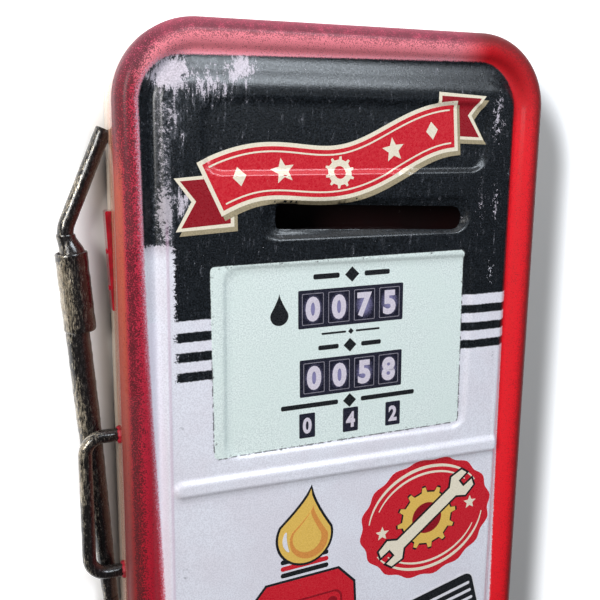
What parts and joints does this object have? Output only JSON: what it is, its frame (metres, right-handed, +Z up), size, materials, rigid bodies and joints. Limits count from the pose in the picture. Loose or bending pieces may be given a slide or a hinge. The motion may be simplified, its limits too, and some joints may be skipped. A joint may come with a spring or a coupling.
{
  "type": "gas pump wall cabinet",
  "caption": "Shallow sheet steel wall cabinet shaped like a retro gas pump, with an embossed hinged front, a posting slot, a cam lock and a bent metal nozzle on its side.",
  "frame": {"origin": "centre of the back face, where it lies on the wall, at half the cabinet's width and height", "axes": "+Y into the wall, so the front faces -Y; +Z up along the cabinet's height; +X to the viewer's right, the hinge side"},
  "size_m": [0.2842, 0.0463, 0.56],
  "materials": {
    "red_wall": "gloss red enamel on the side wall",
    "printed_front": "printed, lightly textured and varnished sheet, red border, black top, pale lower face",
    "back_paint": "satin red primer",
    "black_metal": "black paint rubbed back to brassy metal on the edges",
    "bare_steel": "zinc plated",
    "lock_chrome": "polished chrome"
  },
  "bodies": {
    "cabinet": {"body_shell": "red_wall", "back_panel": "back_paint", "side_boot": "red_wall", "boot_rivets": "red_wall", "hinge_leaf_body_upper": "red_wall", "hinge_leaf_body_lower": "red_wall", "hinge_pin_upper": "bare_steel", "hinge_pin_lower": "bare_steel", "body_rivets": "red_wall", "nozzle_spout": "black_metal", "nozzle_shoulder": "black_metal", "nozzle_sleeve": "black_metal", "nozzle_grip": "black_metal", "nozzle_tail": "black_metal", "holder_loop": "black_metal"},
    "door": {"door_skin": "printed_front", "door_stiffener_left": "bare_steel", "door_stiffener_right": "bare_steel", "hinge_leaf_door_upper": "red_wall", "hinge_leaf_door_lower": "red_wall", "door_rivets": "red_wall", "lock_barrel": "lock_chrome", "lock_nut": "bare_steel"},
    "lock": {"lock_plug": "lock_chrome", "lock_cam": "bare_steel", "lock_cam_screw": "bare_steel"}
  },
  "joints": [
    {"name": "door_hinge", "type": "hinge", "parent": "cabinet", "child": "door", "pos_m": [0.1278, -0.029, 0], "axis": [0, 0, 1], "range_deg": [0, 165]},
    {"name": "lock_turn", "type": "hinge", "parent": "door", "child": "lock", "pos_m": [-0.088, -0.03, -0.12], "axis": [0, 1, 0], "range_deg": [0, 90]}
  ]
}
